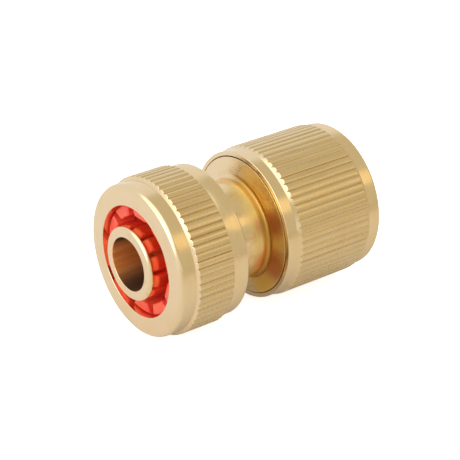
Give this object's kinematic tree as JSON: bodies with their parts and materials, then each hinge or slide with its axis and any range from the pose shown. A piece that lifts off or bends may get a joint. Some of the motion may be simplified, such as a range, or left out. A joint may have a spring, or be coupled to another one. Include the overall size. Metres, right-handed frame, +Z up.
{
  "type": "hose quick connector",
  "caption": "Brass snap coupling for a garden hose: a knurled nut clamps the hose on a tail with a plastic collet, and a sprung knurled sleeve locks on a plug.",
  "frame": {"origin": "on the coupling's axis, in the plane of the clamp nut's front face at rest", "axes": "+X along the axis from the hose end to the socket end, +Z up with the coupling lying on its side"},
  "size_m": [0.0438, 0.0276, 0.0276],
  "materials": {
    "turned_brass": "fine turned, bright",
    "knurled_brass": "bright plain bands and a straight knurl, satin",
    "collet_plastic": "moulded, semi-gloss",
    "lug_plastic": "moulded, satin",
    "spring_steel": "bright drawn wire",
    "seal_rubber": "matt"
  },
  "bodies": {
    "coupling_body": {"tail_body": "turned_brass", "body_seal": "seal_rubber", "socket_body": "turned_brass", "return_spring": "spring_steel", "retaining_ring": "spring_steel"},
    "collet": {"collet": "collet_plastic"},
    "clamp_nut": {"clamp_nut": "knurled_brass"},
    "washer": {"spring_washer": "spring_steel"},
    "sleeve": {"sliding_sleeve": "knurled_brass"},
    "lock_lug_1": {"lock_lug_1": "lug_plastic"},
    "lock_lug_2": {"lock_lug_2": "lug_plastic"},
    "lock_lug_3": {"lock_lug_3": "lug_plastic"},
    "lock_lug_4": {"lock_lug_4": "lug_plastic"}
  },
  "joints": [
    {"name": "collet_slide", "type": "slide", "parent": "coupling_body", "child": "collet", "axis": [-1, 0, 0], "range_m": [0, 0.00375]},
    {"name": "nut_turn", "type": "hinge", "parent": "collet", "child": "clamp_nut", "pos_m": [0.006, 0, 0], "axis": [-1, 0, 0], "range_deg": [0, 900]},
    {"name": "sleeve_slide", "type": "slide", "parent": "coupling_body", "child": "washer", "axis": [-1, 0, 0], "range_m": [0, 0.004], "stiffness_N_per_m": 2500, "springref_m": -0.004, "deforming": ["return_spring"]},
    {"name": "sleeve_spin", "type": "hinge", "parent": "washer", "child": "sleeve", "pos_m": [0.032, 0, 0], "axis": [1, 0, 0], "continuous": true},
    {"name": "lug_1_slide", "type": "slide", "parent": "coupling_body", "child": "lock_lug_1", "axis": [0, -0.7071, 0.7071], "range_m": [0, 0.001]},
    {"name": "lug_2_slide", "type": "slide", "parent": "coupling_body", "child": "lock_lug_2", "axis": [0, -0.7071, -0.7071], "range_m": [0, 0.001]},
    {"name": "lug_3_slide", "type": "slide", "parent": "coupling_body", "child": "lock_lug_3", "axis": [0, 0.7071, -0.7071], "range_m": [0, 0.001]},
    {"name": "lug_4_slide", "type": "slide", "parent": "coupling_body", "child": "lock_lug_4", "axis": [0, 0.7071, 0.7071], "range_m": [0, 0.001]}
  ],
  "couplings": [
    {"joint": "collet_slide", "follows": "nut_turn", "m_per_rad": 0.00023873},
    {"joint": "lug_1_slide", "follows": "sleeve_slide", "ratio": 0.25},
    {"joint": "lug_2_slide", "follows": "sleeve_slide", "ratio": 0.25},
    {"joint": "lug_3_slide", "follows": "sleeve_slide", "ratio": 0.25},
    {"joint": "lug_4_slide", "follows": "sleeve_slide", "ratio": 0.25}
  ]
}
